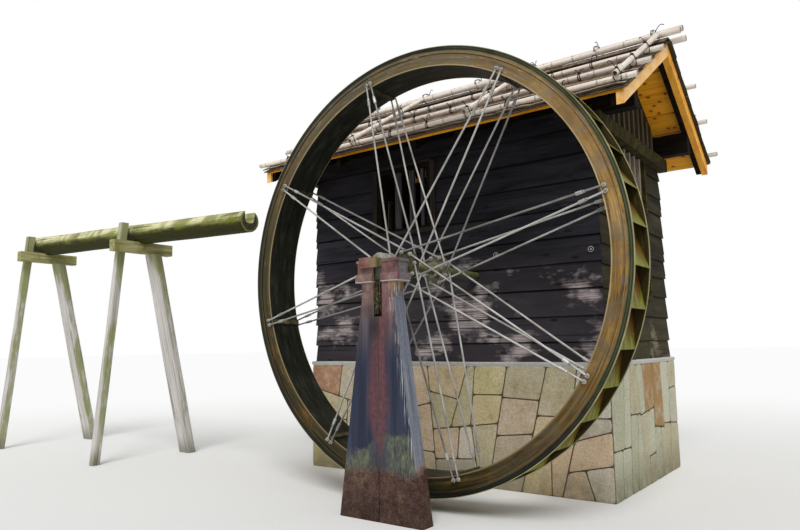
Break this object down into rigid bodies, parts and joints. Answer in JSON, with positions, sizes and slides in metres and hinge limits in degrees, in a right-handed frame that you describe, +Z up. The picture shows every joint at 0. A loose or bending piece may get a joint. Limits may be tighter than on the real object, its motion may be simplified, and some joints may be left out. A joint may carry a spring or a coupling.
{
  "type": "watermill",
  "caption": "Watermill: overshot steel bucket wheel on a tapered pedestal, lapped-board hut with bark and bamboo roof on a stone plinth, and a log flume on trestles.",
  "frame": {"origin": "middle of the pedestal's foot, at floor level", "axes": "+X along the hut's front wall towards the gable that shows, +Y from the pedestal through the wheel to the hut, +Z up"},
  "size_m": [8.4219, 3.9359, 4.2011],
  "materials": {
    "stone": "rough tan flagstones with thin dark joints",
    "wall_timber": "weathered dark lapped boards",
    "frame_timber": "dark stained frames",
    "roof_timber": "dark stained roof timbers",
    "new_timber": "new orange-yellow softwood with knots",
    "bark": "weathered bark sheets",
    "bamboo": "weathered bamboo poles tied with wire",
    "wheel_steel": "wet ochre-brown rusted steel",
    "rim_steel": "dark mossy steel",
    "rod_steel": "dull galvanised rods",
    "hub_steel": "mossy cast hub",
    "pedestal_steel": "blue-black patina with red rust streaks",
    "bearing_iron": "rusty bearing castings",
    "flume_wood": "mossy wet log",
    "trestle_wood": "pale grey weathered posts with green algae"
  },
  "bodies": {
    "root": {"pedestal_column": "pedestal_steel", "bearing_cheeks": "bearing_iron", "front_bearing": "bearing_iron", "wall_bearing": "bearing_iron", "plinth_front": "stone", "plinth_back": "stone", "plinth_left": "stone", "plinth_right": "stone", "front_wall": "wall_timber", "back_wall": "wall_timber", "right_gable_wall": "wall_timber", "left_gable_wall": "wall_timber", "window_frames": "frame_timber", "lattice_frames": "frame_timber", "wall_plates": "roof_timber", "ridge_beam": "roof_timber", "tie_beams": "roof_timber", "rafters": "roof_timber", "front_roof_deck": "new_timber", "back_roof_deck": "new_timber", "front_bargeboards": "new_timber", "back_bargeboards": "new_timber", "front_roof_bark": "bark", "back_roof_bark": "bark", "ridge_cover": "bark", "bamboo_rails": "bamboo", "down_poles": "bamboo", "ridge_poles": "bamboo", "flume_log": "flume_wood", "trestle_beams": "trestle_wood", "trestle_legs": "trestle_wood"},
    "wheel": {"front_shroud": "wheel_steel", "rear_shroud": "wheel_steel", "sole_plate": "wheel_steel", "buckets": "wheel_steel", "rim_tie_bars": "rim_steel", "wheel_shaft": "hub_steel", "front_hub": "hub_steel", "rear_hub": "hub_steel", "front_spokes": "rod_steel", "rear_spokes": "rod_steel"}
  },
  "joints": [
    {"name": "wheel_spin", "type": "hinge", "parent": "root", "child": "wheel", "pos_m": [0, 0.5205, 1.9], "axis": [0, -1, 0], "continuous": true}
  ]
}
